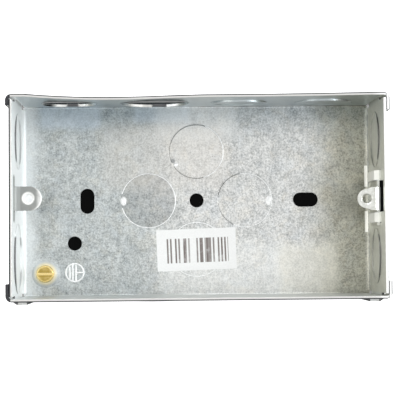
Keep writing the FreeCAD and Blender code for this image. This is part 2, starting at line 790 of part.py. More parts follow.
def build_earth_boss():
    """A boss pressed up from the back, with a threaded hole in its crown."""
    clearing = sketch_on(case, "XY_Plane", "earth_boss_plan", "sheet / 2")
    ring(clearing, EARTH_X, EARTH_Y, "boss_base - sheet / 2")
    extrude(case, "Pocket", "earth_boss_clearing", clearing, CUT_THROUGH, both_ways=True)
    section = sketch_on(case, "XZ_Plane", "earth_boss_section", f"-({EARTH_Y})", (EARTH_X, "0"))
    crown = "(sheet + boss_rise)"
    outline(section, [
        ("earth_bore / 2", f"{crown} - sheet - earth_drop"),
        ("earth_collar / 2", f"{crown} - sheet - earth_drop"),
        ("earth_collar / 2", f"{crown} - sheet"),
        ("boss_crown - sheet / 2", f"{crown} - sheet"),
        ("boss_base - sheet / 2", "0"),
        ("boss_base + sheet / 2", "0"),
        ("boss_base + sheet / 2", "sheet"),
        ("boss_base", "sheet"),
        ("boss_crown", crown),
        ("earth_bore / 2", crown),
    ])
    turn_round(case, "earth_boss", section)


def build_case():
    """Fold, shear and press the whole case."""
    build_end_walls()
    build_side_folds()
    build_corner_floors()
    build_straight_side()
    build_dented_side()
    build_corner_tabs()
    build_fixed_lug()
    build_slideway()
    build_earth_boss()
    build_fixing_holes()
    build_knockouts()


# The adjustable lug

def build_adjustable_lug():
    """An angle with a threaded eye, whose wide foot runs behind the straps."""
    lug = doc.addObject("PartDesign::Body", "adjustable_lug")
    lug.Label = "adjustable_lug"
    back = f"({HALF_LENGTH} - sheet - slide_play)"
    front = f"({HALF_LENGTH} - 2 * sheet - slide_play)"
    bend = f"({back} - neck_bend - sheet)"
    fold = sketch_on(lug, "XZ_Plane", "neck_fold")
    outline(fold, [
        (front, "wing_foot"),
        (back, "wing_foot"),
        (back, "lug_level - neck_bend - sheet", "neck_bend + sheet", 1),
        (bend, "lug_level"),
        ("lug_span / 2 + eye_radius / 2", "lug_level"),
        ("lug_span / 2 + eye_radius / 2", "lug_level - sheet"),
        (bend, "lug_level - sheet", "neck_bend", -1),
        (front, "lug_level - neck_bend - sheet"),
    ])
    extrude(lug, "Pad", "neck", fold, "neck_width", both_ways=True)
    wing = sketch_on(lug, "YZ_Plane", "wing_line", front)
    outline(wing, [
        ("-wing_span / 2", "wing_foot"),
        ("wing_span / 2", "wing_foot"),
        ("wing_span / 2", "wing_top"),
        ("-wing_span / 2", "wing_top"),
    ])
    extrude(lug, "Pad", "wing", wing, "sheet")
    eye = sketch_on(lug, "XY_Plane", "eye_plan", "lug_level")
    outline(eye, [
        ("lug_span / 2", "eye_radius", "eye_radius", 1),
        ("lug_span / 2", "-eye_radius"),
        ("lug_span / 2 + eye_radius / 2", "-neck_width / 2"),
        ("lug_span / 2 + eye_radius / 2", "neck_width / 2"),
    ])
    extrude(lug, "Pad", "eye", eye, "sheet", backwards=True)
    build_thread(lug, "adjustable_lug", "lug_span / 2")
    bind(lug, ".Placement.Base.y", "slide_rest")
    return lug


# The earth terminal's screw

def build_earth_screw():
    """A slotted brass screw, turned about its own axis."""
    screw = doc.addObject("PartDesign::Body", "earth_screw")
    screw.Label = "earth_screw"
    section = sketch_on(screw, "XZ_Plane", "turned_section")
    shank = "(earth_bore / 2 - earth_play)"
    outline(section, [
        ("0", "-screw_reach"),
        (f"{shank} - screw_lead", "-screw_reach"),
        (shank, "-screw_reach + screw_lead"),
        (shank, "0"),
        ("head_size / 2", "0"),
        ("head_size / 2", "head_height - head_crown", "head_crown", 1),
        ("head_size / 2 - head_crown", "head_height"),
        ("0", "head_height"),
    ])
    turn_round(screw, "turned_screw", section)
    slot = sketch_on(screw, "XY_Plane", "driver_slot_plan", "head_height")
    outline(slot, [
        ("-head_size", "-head_slot / 2"),
        ("head_size", "-head_slot / 2"),
        ("head_size", "head_slot / 2"),
        ("-head_size", "head_slot / 2"),
    ])
    extrude(screw, "Pocket", "driver_slot", slot, "2 * head_slot_depth", both_ways=True)
    bind(screw, ".Placement.Base.x", EARTH_X)
    bind(screw, ".Placement.Base.y", EARTH_Y)
    bind(screw, ".Placement.Base.z", "sheet + boss_rise")
    return screw


# The label stuck to the back

def build_label():
    """A slip of paper, stuck slightly askew over the lower knockout."""
    label = doc.addObject("Part::Box", "paper_label")
    label.Label = "paper_label"
    bind(label, "Length", "label_length")
    bind(label, "Width", "label_height")
    bind(label, "Height", "paper")
    turn = "label_turn * 1 deg"
    label.Placement = FreeCAD.Placement(Vector(), FreeCAD.Rotation(Vector(0, 0, 1), START_TURN))
    bind(label, ".Placement.Rotation.Angle", turn)
    bind(label, ".Placement.Base.x", f"label_x - label_length / 2 * cos({turn}) + label_height / 2 * sin({turn})")
    bind(label, ".Placement.Base.y", f"label_y - label_length / 2 * sin({turn}) - label_height / 2 * cos({turn})")
    bind(label, ".Placement.Base.z", "sheet")
    return label


build_case()
pieces = [case, build_adjustable_lug(), build_earth_screw(), build_label()]
doc.recompute()

for item in doc.Objects:
    for word in ("Invalid", "Error"):
        if word in item.State:
            raise RuntimeError(f"{item.Name} is {item.State}")

os.makedirs("parts", exist_ok=True)
for piece in pieces:
    shape = piece.Shape
    if shape.isNull() or not shape.isValid() or len(shape.Solids) != 1:
        raise RuntimeError(f"{piece.Label} isn't one sound solid")
    shape.exportStep(os.path.join("parts", f"{piece.Label}.step"))
    box = shape.BoundBox
    print(f"{piece.Label}: {shape.Volume:.1f} mm3, X {box.XMin:.2f} to {box.XMax:.2f},"
          f" Y {box.YMin:.2f} to {box.YMax:.2f}, Z {box.ZMin:.2f} to {box.ZMax:.2f}")
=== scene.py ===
import logging
import math
from dataclasses import dataclass
from enum import Enum

import bmesh
import bpy
from mathutils import Matrix, Vector


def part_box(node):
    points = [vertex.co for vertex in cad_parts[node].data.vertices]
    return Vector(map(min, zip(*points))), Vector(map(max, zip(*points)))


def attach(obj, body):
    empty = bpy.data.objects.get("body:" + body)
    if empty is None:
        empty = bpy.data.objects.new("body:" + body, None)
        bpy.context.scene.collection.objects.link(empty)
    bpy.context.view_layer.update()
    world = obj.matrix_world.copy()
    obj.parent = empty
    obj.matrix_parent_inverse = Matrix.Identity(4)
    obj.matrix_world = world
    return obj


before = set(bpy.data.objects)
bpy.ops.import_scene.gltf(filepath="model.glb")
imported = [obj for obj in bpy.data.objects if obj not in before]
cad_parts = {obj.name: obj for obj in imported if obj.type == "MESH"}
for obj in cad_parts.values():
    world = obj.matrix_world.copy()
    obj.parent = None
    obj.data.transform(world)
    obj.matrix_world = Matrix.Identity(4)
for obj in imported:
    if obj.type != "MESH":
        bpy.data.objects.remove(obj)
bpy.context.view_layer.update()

MM = 0.001
log = logging.getLogger("flush_box")

Colour = tuple[float, float, float]
Point = tuple[float, float, float]
Pattern = tuple[float, ...]
Rectangle = tuple[float, float, float, float]
ORIGIN = (0.0, 0.0, 0.0)
FIXED_EYE = (-60.3, 0.0)
SLIDING_EYE = (60.3, -0.95)
LABEL_TURN = 1.8


class Signal:
    """One socket of a shader tree, wrapped so that maths on it reads as Python."""

    def __init__(self, recipe: "Recipe", socket: bpy.types.NodeSocket) -> None:
        """Keep the socket and the recipe whose tree it is in."""
        self.recipe = recipe
        self.socket = socket

    def _maths(self, operation: str, *values: "Signal | float") -> "Signal":
        """Add one Math node fed by these values in order."""
        inputs = dict(enumerate(values))
        return self.recipe.node("ShaderNodeMath", {"operation": operation}, inputs)

    def __add__(self, other: "Signal | float") -> "Signal":
        """Sum."""
        return self._maths("ADD", self, other)

    def __radd__(self, other: float) -> "Signal":
        """Sum with a number on the left."""
        return self._maths("ADD", other, self)

    def __sub__(self, other: "Signal | float") -> "Signal":
        """Difference."""
        return self._maths("SUBTRACT", self, other)

    def __rsub__(self, other: float) -> "Signal":
        """Difference with a number on the left."""
        return self._maths("SUBTRACT", other, self)

    def __mul__(self, other: "Signal | float") -> "Signal":
        """Product."""
        return self._maths("MULTIPLY", self, other)

    def __rmul__(self, other: float) -> "Signal":
        """Product with a number on the left."""
        return self._maths("MULTIPLY", other, self)

    def __truediv__(self, other: "Signal | float") -> "Signal":
        """Quotient."""
        return self._maths("DIVIDE", self, other)

    def __abs__(self) -> "Signal":
        """Size without sign."""
        return self._maths("ABSOLUTE", self)

    def lowest(self, other: "Signal | float") -> "Signal":
        """The smaller of two."""
        return self._maths("MINIMUM", self, other)

    def highest(self, other: "Signal | float") -> "Signal":
        """The larger of two."""
        return self._maths("MAXIMUM", self, other)

    def fade(self, start: float, end: float) -> "Signal":
        """Ease from 0 to 1.

        Args:
            start: where it's still 0, which may be the larger of the two.
            end: where it's 1.

        Returns:
            The eased value.
        """
        if start > end:
            return 1 - self.fade(end, start)
        ranges = {"Value": self, "From Min": start, "From Max": end}
        return self.recipe.node("ShaderNodeMapRange", {"interpolation_type": "SMOOTHSTEP"}, ranges)


Axes = tuple[Signal, Signal, Signal]


class Recipe:
    """The node tree of one finish, built up from the coordinates to the shader."""

    def __init__(self, name: str, holders: bpy.types.bpy_prop_collection | None = None) -> None:
        """Start an empty tree.

        Args:
            name: the tree's name.
            holders: what it's added to, if not to the materials.
        """
        self.holder = (bpy.data.materials if holders is None else holders).new(name)
        self.holder.use_nodes = True
        self.tree = self.holder.node_tree
        self.tree.nodes.clear()

    def node(self, kind: str, settings: dict | None = None, inputs: dict | None = None,
             output: str | int = 0) -> Signal:
        """Add a node of any kind.

        Args:
            kind: the node's type name.
            settings: its own settings, set first.
            inputs: a value or a Signal for each socket, by name or number.
            output: which socket is handed back.

        Returns:
            The chosen output as a Signal.
        """
        made = self.tree.nodes.new(kind)
        for key, value in (settings or {}).items():
            setattr(made, key, value)
        for key, value in (inputs or {}).items():
            if isinstance(value, Signal):
                self.tree.links.new(value.socket, made.inputs[key])
            else:
                made.inputs[key].default_value = value
        return Signal(self, made.outputs[output])

    def millimetres(self) -> Signal:
        """The place on the object, in millimetres."""
        place = self.node("ShaderNodeTexCoord", output="Object")
        values = {0: place, "Scale": 1 / MM}
        return self.node("ShaderNodeVectorMath", {"operation": "SCALE"}, values)

    def moved(self, place: Signal, centre: Point = ORIGIN, turn: float = 0.0,
              stretch: Point = (1, 1, 1)) -> Signal:
        """A pattern's own place.

        Args:
            place: where it is on the object.
            centre: what becomes the pattern's origin.
            turn: how far it's then turned about Z, in degrees.
            stretch: what its coordinates are then multiplied by.

        Returns:
            The place in the pattern.
        """
        shift = self.node("ShaderNodeVectorMath", {"operation": "SUBTRACT"}, {0: place, 1: centre})
        values = {"Vector": shift, "Rotation": (0, 0, math.radians(turn)), "Scale": stretch}
        return self.node("ShaderNodeMapping", {"vector_type": "POINT"}, values)

    def noise(self, place: Signal, size: float, detail: float = 3.0, rough: float = 0.55,
              swirl: float = 0.0) -> Signal:
        """Cloudy noise.

        Args:
            place: where it is read.
            size: how large its lumps are, in millimetres.
            detail: how many octaves it has.
            rough: how strong the finer octaves are.
            swirl: how far it's distorted.

        Returns:
            The noise, mostly between 0.3 and 0.7.
        """
        values = {"Vector": place, "Scale": 1 / size, "Detail": detail}
        values |= {"Roughness": rough, "Distortion": swirl}
        return self.node("ShaderNodeTexNoise", {}, values, "Fac")

    def axis(self, place: Signal, name: str) -> Signal:
        """One coordinate of a place."""
        return self.node("ShaderNodeSeparateXYZ", {}, {0: place}, name)

    def reach(self, place: Signal, centre: Point) -> Signal:
        """Distance from a point."""
        values = {0: place, 1: centre}
        return self.node("ShaderNodeVectorMath", {"operation": "DISTANCE"}, values, "Value")

    def blend(self, share: Signal | float, first: Signal | Colour,
              second: Signal | Colour) -> Signal:
        """Mix two colours.

        Args:
            share: how much of the second there is.
            first: the colour at 0.
            second: the colour at 1.

        Returns:
            The mixed colour.
        """
        values = {0: share}
        for key, colour in ((6, first), (7, second)):
            values[key] = colour if isinstance(colour, Signal) else (*colour, 1.0)
        return self.node("ShaderNodeMix", {"data_type": "RGBA"}, values, 2)

    def tint(self, share: Signal | float, colour: Signal, by: Colour) -> Signal:
        """Multiply a colour by another, as far as the share says."""
        return self.node("ShaderNodeMix", {"data_type": "RGBA", "blend_type": "MULTIPLY"},
                         {0: share, 6: colour, 7: (*by, 1.0)}, 2)

    def bump(self, height: Signal, strength: float, depth: float,
             base: Signal | None = None) -> Signal:
        """A surface normal from a height.

        Args:
            height: the height.
            strength: how strongly it shows.
            depth: what a height of 1 stands for, in millimetres.
            base: the normal it lies over, if any.

        Returns:
            The normal.
        """
        values = {"Height": height, "Strength": strength, "Distance": depth * MM}
        if base is not None:
            values["Normal"] = base
        return self.node("ShaderNodeBump", {}, values)

    def finish(self, inputs: dict) -> bpy.types.Material:
        """Close the recipe with its surface shader."""
        self.lead_out(self.node("ShaderNodeBsdfPrincipled", {}, inputs), "ShaderNodeOutputMaterial")
        return self.holder

    def lead_out(self, shader: Signal, kind: str) -> None:
        """Lead a shader to the tree's output node."""
        made = self.tree.nodes.new(kind)
        self.tree.links.new(shader.socket, made.inputs["Surface"])


@dataclass(frozen=True)
class Zone:
    """A painted tint of shade and reflected colour that comes in along one axis, in millimetres,
    over a ragged border.
    """

    axis: str
    start: float
    end: float
    tint: Colour
    ragged: float = 20.0


@dataclass(frozen=True)
class Patch:
    """A soft-edged block of space, in millimetres, where painted light, shade and reflections lean
    the metal to one colour.

    Chalk is how far the zinc there has lost its mirror and scatters light instead.
    """

    low: Point
    high: Point
    colour: Colour
    share: float = 0.8
    chalk: float = 0.0
    border: float = 0.5
    rise_border: float = 2.0

    def mask(self, axes: Axes) -> Signal:
        """How far each place is inside the block.

        Args:
            axes: the place's coordinates, in millimetres.

        Returns:
            1 inside, falling to 0 over the border, which is kept short upwards.
        """
        borders = (self.border, self.border, min(self.border, self.rise_border))
        inside: Signal | float = 1.0
        for along, low, high, border in zip(axes, self.low, self.high, borders):
            inside = along.fade(low - border, low) * along.fade(high + border, high) * inside
        return inside


@dataclass(frozen=True)
class BackBlank:
    """A knockout blank of the back: its middle, and the painted shade that darkens it beside the
    sheet.
    """

    x: float
    y: float
    shade: float = 1.0


@dataclass(frozen=True)
class Dimple:
    """A dimple struck into a blank's tie, with a painted highlight: its middle and its radius."""

    x: float
    y: float
    radius: float


@dataclass(frozen=True)
class Notch:
    """A pry notch in the top of a pushed blank, darkened with painted shade: its middle and half
    its width.
    """

    x: float
    half: float


@dataclass(frozen=True)
class PushedBlank:
    """A blank pushed in from the dented wall, matt and darkened with painted shade for some depth
    from its top.
    """

    x: float
    level: float
    radius: float
    depth: float
    share: float
    edge: float = 0.3

    def mask(self, recipe: Recipe, place: Signal, rise: Signal) -> Signal:
        """How far each place is in the painted shade over the blank's upper part.

        Args:
            recipe: the tree to add it to.
            place: the place, in millimetres.
            rise: its height.

        Returns:
            The share where it's dark, and 0 elsewhere.
        """
        top = self.level + self.radius
        flat = recipe.moved(place, (self.x, 0, self.level), stretch=(1, 0, 1))
        disc = recipe.reach(flat, ORIGIN).fade(self.radius, self.radius - self.edge)
        return rise.fade(top - self.depth, top - self.depth / 2) * disc * self.share


@dataclass
class Coat:
    """The sheet's finish in the making, with the places and masks that its layers share."""

    recipe: Recipe
    place: Signal
    axes: Axes
    normal: Axes
    on_back: Signal
    inner: Signal
    rim: Signal
    colour: Signal
    chalk: Signal | float = 0.0

    def lean(self, mask: Signal, colour: Colour, share: float = 1.0, chalk: float = 0.0) -> None:
        """Let the metal under a mask lean to a colour, and turn to chalk.

        Args:
            mask: where it does.
            colour: the colour it leans to.
            share: how far it leans.
            chalk: how far it turns to chalk.
        """
        self.colour = self.recipe.blend(mask * share, self.colour, colour)
        if chalk:
            self.chalk = mask * chalk + self.chalk

    def near(self, x: float, y: float, level: float) -> Signal:
        """Distance from a point of the box, in millimetres."""
        return self.recipe.reach(self.place, (x, y, level))


@dataclass(frozen=True)
class GalvanisedSheet:
    """Hot-dipped sheet: pale zinc with a fine speckle, clouds and rolling lines.

    Places are in millimetres on the box. Zones tint the back with painted shade and
    tinted reflections. Patches paint light, shade and reflections on the walls, bends
    and straps, on the faces that look into the box. Knockouts and dimples are pressed
    into the normal.
    """

    name: str = "galvanised_sheet"
    roughness: float = 0.34

    # Colours
    dark: Colour = (0.25, 0.262, 0.26)
    pale: Colour = (0.86, 0.86, 0.845)
    cold: Colour = (0.965, 0.98, 1.0)
    warm: Colour = (1.0, 0.98, 0.95)
    rim_zinc: Colour = (0.70, 0.69, 0.67)
    # Painted highlight along the rim's right end
    rim_highlight: Colour = (0.97, 0.97, 0.96)
    # Painted highlights on the fixed lug's mouth and tip, and on the struck dimples
    bright: Colour = (1.0, 1.0, 0.98)
    # Painted shade: the dark line along the rim's outer edge and the blanks' sheared edges
    edge: Colour = (0.06, 0.06, 0.065)
    # Painted shade in the hollow beside the upper dimple
    hollow_shade: Colour = (0.22, 0.23, 0.24)
    # Painted shade over the pushed blanks' upper outer faces
    blank_shade: Colour = (0.02, 0.022, 0.024)
    boss_zinc: Colour = (0.74, 0.76, 0.76)
    # Painted reflection of the brass screw, round it on the boss
    brass_reflection: Colour = (0.95, 0.86, 0.60)

    # Size in millimetres, octaves, roughness and swirl of each noise
    drift: Pattern = (26.0, 4.0, 0.6, 1.0)
    clouds: Pattern = (5.5, 3.0, 0.6, 0.8)
    mottle: Pattern = (1.9, 4.0, 0.7, 0.5)
    grain: Pattern = (0.6, 3.0, 0.75)
    lines: Pattern = (0.7, 2.0, 0.6)
    cold_spots: Pattern = (5.0, 2.0)
    warm_spots: Pattern = (6.0, 2.0, 0.5, 1.0)
    rolled: Point = (1.0, 0.2, 0.5)

    # How the noises add up to light, and the range of it that runs from dark to pale
    cloud_share: float = 0.7
    mottle_share: float = 0.85
    grain_share: float = 2.1
    line_share: float = 0.5
    wall_share: float = 0.25
    lift: float = 1.28
    darkest: float = 1.25
    palest: float = 2.70
    grain_relief: float = 0.06
    mottle_relief: float = 0.10
    line_relief: float = 0.04
    relief_depth: float = 0.10
    fold_radius: float = 0.35

    # Places on the box
    back: float = 1.0
    inward: tuple[float, float] = (30.0, 12.0)
    rim_low: float = 33.0
    rim_foot: float = 34.3
    rim_top: float = 34.8
    bright_from: float = 61.0
    lug_eye: Point = (-60.5, 0.1, 2.1)
    lug_foot: float = 22.0
    lug_tip: tuple[float, float] = (4.0, 9.0)
    tip_from: float = -60.0
    boss: tuple[float, float] = (-56.9, -27.2)
    boss_rise: float = 1.2
    boss_ring: float = 6.2
    reflection_ring: float = 4.8
    hollow: tuple[float, float] = (-8.9, 15.0)
    dent: float = -32.0
    dent_depth: float = 1.3
    dent_run: float = 29.0
    dent_tail: float = 8.0
    tail_depth: float = 0.5
    tail_run: float = 53.0
    dented_wall: float = 31.0
    end_walls: float = 64.3
    lug_half: float = 13.0
    blanks_foot: float = 3.5
    blanks_middle: float = 15.0
    blanks_top: float = 33.6
    notch_foot: float = 17.0
    cut_soft: float = 0.15
    left_cut: float = -66.0
    front_cut: float = -36.1
    rear_cut: float = 36.05
    right_cut: tuple[float, float] = (66.2, 66.75)
    tab_cut: float = 67.3
    blank_radius: float = 10.2
    blanks: tuple[BackBlank, ...] = (
        BackBlank(0.0, 18.5),
        # Painted shade: this blank is darker than the sheet
        BackBlank(-18.2, 0.0, 0.80),
        BackBlank(18.2, 0.0),
        BackBlank(0.0, -18.5),
    )
    dimples: tuple[Dimple, ...] = (
        Dimple(-7.7, 13.6, 0.6),
        Dimple(-27.6, -0.1, 1.2),
        Dimple(27.3, -0.2, 1.3),
    )
    # Painted shade over the top of each pushed blank's outer face
    pushed: tuple[PushedBlank, ...] = (
        PushedBlank(-46.5, 14.6, 10.25, 9.5, 1.0),
        PushedBlank(-15.5, 15.0, 12.75, 11.5, 1.0),
        PushedBlank(15.5, 14.6, 10.25, 7.0, 1.0),
        PushedBlank(46.5, 14.6, 10.25, 6.5, 0.9),
    )
    notches: tuple[Notch, ...] = (Notch(-44.9, 2.0), Notch(-13.7, 2.6))
    # Painted shade and tinted reflections of the surroundings on the back
    shade_zones: tuple[Zone, ...] = (
        Zone("X", 0.0, -28.0, (0.80, 0.84, 0.85)),
        Zone("X", 38.0, 56.0, (0.62, 0.61, 0.53), 14.0),
        Zone("Y", 20.0, 34.0, (0.72, 0.76, 0.79), 16.0),
    )
    # Painted light, shade and reflections, laid only on the faces that look into the box
    light_patches: tuple[Patch, ...] = (
        # Painted light and shade: the pale left wall, the back's left side, a painted highlight
        # under the fixed lug's eye, painted shade on the dented wall, the left bend's painted
        # highlight
        Patch((-67.0, -36.0, 2.2), (-63.5, 37.0, 34.2), (0.98, 1.0, 1.0), 0.9, 0.8),
        Patch((-70.0, -40.0, 0.5), (-63.5, 40.0, 1.6), (0.93, 0.96, 0.97), 0.6, 0.3, 6.0),
        Patch((-64.8, -0.6, 0.5), (-61.6, 2.9, 3.0), (1.0, 1.0, 1.0), 0.95, 0.7, 0.5),
        Patch((-64.0, 34.5, 4.0), (66.0, 36.4, 34.2), (0.45, 0.51, 0.53), 0.7, 0.0, 0.6),
        Patch((-67.0, -35.0, 1.0), (-64.7, 35.0, 2.6), (0.93, 0.95, 0.95), 0.55, 0.45, 0.7),
        # Painted light, shade and tinted reflections on the back, from the dented wall down
        Patch((-57.0, 29.5, 0.5), (-38.0, 34.0, 1.6), (0.58, 0.68, 0.78), 0.4, 0.0, 4.0),
        Patch((-22.0, 31.0, 0.5), (-4.0, 34.0, 1.6), (0.58, 0.68, 0.78), 0.35, 0.0, 3.0),
        Patch((-12.0, 26.0, 0.5), (12.0, 34.0, 1.6), (0.86, 0.88, 0.87), 0.35, 0.0, 6.0),
        Patch((-7.0, 11.0, 0.5), (7.0, 26.0, 1.6), (0.90, 0.89, 0.84), 0.15, 0.0, 3.0),
        Patch((-32.0, 8.0, 0.5), (8.0, 25.0, 1.6), (0.72, 0.67, 0.61), 0.25, 0.0, 7.0),
        Patch((-10.0, -33.0, 0.5), (30.0, -20.0, 1.6), (0.95, 0.96, 0.93), 0.3, 0.0, 8.0),
        Patch((34.0, -33.0, 0.5), (50.0, -20.0, 1.6), (0.82, 0.80, 0.70), 0.4, 0.0, 6.0),
        # Painted shade on the right wall, painted reflections of the straps in its bend, and
        # painted highlights on the straps
        Patch((64.9, -36.0, 2.2), (67.0, 37.0, 34.2), (0.80, 0.80, 0.69), 0.6, 0.35),
        Patch((63.8, 4.8, 0.5), (64.7, 12.6, 3.0), (1.0, 0.99, 0.93), 0.9, 0.6, 0.2),
        Patch((63.8, -12.4, 0.5), (64.7, -4.7, 3.0), (1.0, 0.99, 0.93), 0.9, 0.6, 0.2),
        Patch((61.5, 6.0, 10.0), (64.8, 14.0, 34.5), (1.0, 0.99, 0.92), 0.85, 0.6, 0.2),
        Patch((61.5, -14.0, 10.0), (64.8, -6.0, 34.5), (1.0, 0.99, 0.92), 0.85, 0.6, 0.2),
        # Painted shade on the fixed lug's front face and on the straight side wall
        Patch((-66.0, -7.5, 26.5), (-58.0, 7.5, 29.5), (0.26, 0.27, 0.26), 0.85, 0.0, 1.5),
        Patch((-64.0, -36.5, 4.0), (66.0, -35.0, 34.2), (0.60, 0.62, 0.60), 0.6, 0.3, 0.8),
    )

    def make(self) -> bpy.types.Material:
        """Build the material.

        Returns:
            A material that reads the object's own coordinates.
        """
        recipe = Recipe(self.name)
        place = recipe.millimetres()
        mottle = recipe.noise(place, *self.mottle)
        grain = recipe.noise(place, *self.grain)
        lines = recipe.noise(recipe.moved(place, stretch=self.rolled), *self.lines)
        on_back = recipe.axis(place, "Z").fade(self.back + 1.2, self.back + 0.2)
        fine = self.wall_share + on_back * (1 - self.wall_share)
        speckle = (grain - 0.5) * self.grain_share + (lines - 0.5) * self.line_share
        light = recipe.noise(place, *self.clouds) * self.cloud_share + mottle * self.mottle_share
        light = light + speckle * fine + self.lift
        zinc = recipe.blend(light.fade(self.darkest, self.palest), self.dark, self.pale)
        coat = self._ground(recipe, place, on_back, zinc)
        layers = (self._spots, self._rims, self._painted_shade, self._painted_light, self._terminal, self._eye,
                  self._struck, self._shaded_blanks)
        for layer in layers:
            layer(coat)
        relief = grain * self.grain_relief * fine + mottle * self.mottle_relief
        relief = (relief + lines * self.line_relief * fine) * (1 - coat.rim)
        folds = {"Radius": self.fold_radius * MM}
        rounded = recipe.node("ShaderNodeBevel", {"samples": 4}, folds)
        uneven = (mottle - 0.5) * 0.25 + (grain - 0.5) * 0.15
        return recipe.finish({
            "Base Color": recipe.blend(self._outline(coat), coat.colour, self.edge),
            "Metallic": 1 - coat.chalk.lowest(1.0),
            "Roughness": self.roughness + uneven * fine,
            "Specular IOR Level": 0.0,
            "Normal": recipe.bump(relief + self._pressed(coat), 1.0, self.relief_depth, rounded),
        })

    def _ground(self, recipe: Recipe, place: Signal, on_back: Signal, zinc: Signal) -> Coat:
        """Start the coat: its places, its masks and the plain zinc.

        Args:
            recipe: the tree to add it to.
            place: the place, in millimetres.
            on_back: how far the place is on the back.
            zinc: the plain zinc's colour.

        Returns:
            The coat, with nothing laid on it yet.
        """
        along, across, rise = axes = tuple(recipe.axis(place, name) for name in "XYZ")
        facing = recipe.node("ShaderNodeNewGeometry", output="Normal")
        normal = tuple(recipe.axis(facing, name) for name in "XYZ")
        inner = (along * normal[0] + across * normal[1]).fade(*self.inward)
        rim = rise.fade(self.rim_foot, self.rim_top)
        return Coat(recipe, place, axes, normal, on_back, inner, rim, zinc)

    def _spots(self, coat: Coat) -> None:
        """Faint cold and warm spots.

        Args:
            coat: the coat they are laid on.
        """
        recipe = coat.recipe
        cold = recipe.noise(coat.place, *self.cold_spots).fade(0.45, 0.7)
        warm = recipe.noise(coat.place, *self.warm_spots).fade(0.5, 0.7)
        coat.colour = recipe.tint(cold, coat.colour, self.cold)
        coat.colour = recipe.tint(warm, coat.colour, self.warm)

    def _rims(self, coat: Coat) -> None:
        """The rim's cut edge, with a painted highlight that makes it brighter at the right.

        Args:
            coat: the coat it's laid on.
        """
        coat.lean(coat.rim, self.rim_zinc, 0.85)
        # Painted highlight on the rim's right end
        right = coat.axes[0].fade(self.bright_from, self.bright_from + 5.0)
        coat.lean(coat.rim * right, self.rim_highlight)

    def _painted_shade(self, coat: Coat) -> None:
        """Painted shade and tinted reflections in zones over the back, and painted shade over its
        darker blank.

        Args:
            coat: the coat they are laid on.
        """
        recipe = coat.recipe
        drift = recipe.noise(coat.place, *self.drift) - 0.5
        # Painted shade and tinted reflections, zone by zone
        for zone in self.shade_zones:
            along = recipe.axis(coat.place, zone.axis) + drift * zone.ragged
            share = along.fade(zone.start, zone.end) * coat.on_back
            coat.colour = recipe.tint(share, coat.colour, zone.tint)
        # Painted shade over the darker blank
        for blank in self.blanks:
            if blank.shade < 1:
                disc = coat.near(blank.x, blank.y, self.back)
                disc = disc.fade(self.blank_radius, self.blank_radius - 0.4)
                coat.colour = recipe.tint(disc, coat.colour, (blank.shade,) * 3)

    def _painted_light(self, coat: Coat) -> None:
        """The painted light, shade and reflections of the patches, on the faces that look into the
        box.

        Args:
            coat: the coat they are laid on.
        """
        # Painted light, shade and reflections, patch by patch
        for patch in self.light_patches:
            mask = patch.mask(coat.axes) * coat.inner
            coat.lean(mask, patch.colour, patch.share, patch.chalk)

    def _terminal(self, coat: Coat) -> None:
        """The earth terminal's boss, with a painted reflection of the brass round the screw.

        Args:
            coat: the coat it's laid on.
        """
        reach = coat.near(*self.boss, self.back + self.boss_rise)
        coat.lean(reach.fade(self.boss_ring, self.reflection_ring), self.boss_zinc, 0.6, 0.7)
        # Painted reflection of the brass round the screw
        coat.lean(reach.fade(self.reflection_ring, self.reflection_ring - 1.4), self.brass_reflection, 0.8)

    def _eye(self, coat: Coat) -> None:
        """Painted highlights: the bright mouth of the fixed lug's hole, and the crescent of its
        tip.

        Args:
            coat: the coat it's laid on.
        """
        x, y, radius = self.lug_eye
        around = coat.recipe.reach(coat.recipe.moved(coat.place, stretch=(1, 1, 0)), (x, y, 0))
        near, far = self.lug_tip
        tip = around.fade(near, near + 0.8) * around.fade(far, far - 1.0)
        tip = tip * coat.axes[0].fade(self.tip_from, self.tip_from + 2.5)
        mouth = around.fade(radius + 0.5, radius - 0.3).highest(tip)
        mouth = mouth * coat.axes[2].fade(self.lug_foot, self.lug_foot + 3)
        # Painted highlight on the mouth and the tip
        coat.lean(mouth, self.bright, 0.9, 0.6)

    def _struck(self, coat: Coat) -> None:
        """Painted highlights on the dimples, and painted shade in the hollow beside the upper one.

        Args:
            coat: the coat they are laid on.
        """
        recipe = coat.recipe
        for dimple in self.dimples:
            centre = (dimple.x, dimple.y, self.back)
            oval = recipe.moved(coat.place, centre, stretch=(1.2, 0.8, 1.0))
            spot = recipe.reach(oval, ORIGIN).fade(dimple.radius + 0.6, dimple.radius - 0.5)
            # Painted highlight on the dimple
            coat.lean(spot, self.bright, chalk=0.6)
        # Painted shade in the hollow
        coat.lean(coat.near(*self.hollow, self.back).fade(1.2, 0.5), self.hollow_shade, 0.7)

    def _shaded_blanks(self, coat: Coat) -> None:
        """Painted shade: the matt dark upper parts of the pushed blanks' outer faces.

        Args:
            coat: the coat they are laid on.
        """
        outer = (1 - coat.inner) * coat.axes[1].fade(self.dented_wall - 1.0, self.dented_wall)
        for blank in self.pushed:
            mask = blank.mask(coat.recipe, coat.place, coat.axes[2]) * outer
            # Painted shade, matt
            coat.lean(mask, self.blank_shade, chalk=1.0)

    def _dented(self, along: Signal) -> Signal:
        """How far the dented wall's rim is pushed in, along the box.

        Args:
            along: the place along the box.

        Returns:
            The depth of the dent there, in millimetres.
        """
        before = (self.dent - along).highest(0.0) / self.dent_run
        after = (along - self.dent_tail).highest(0.0) / self.tail_run
        fall = along.fade(self.dent, self.dent_tail) * (self.dent_depth - self.tail_depth)
        depth = self.dent_depth - fall - before * before * self.dent_depth
        return (depth - after * after * self.tail_depth).highest(0.0)

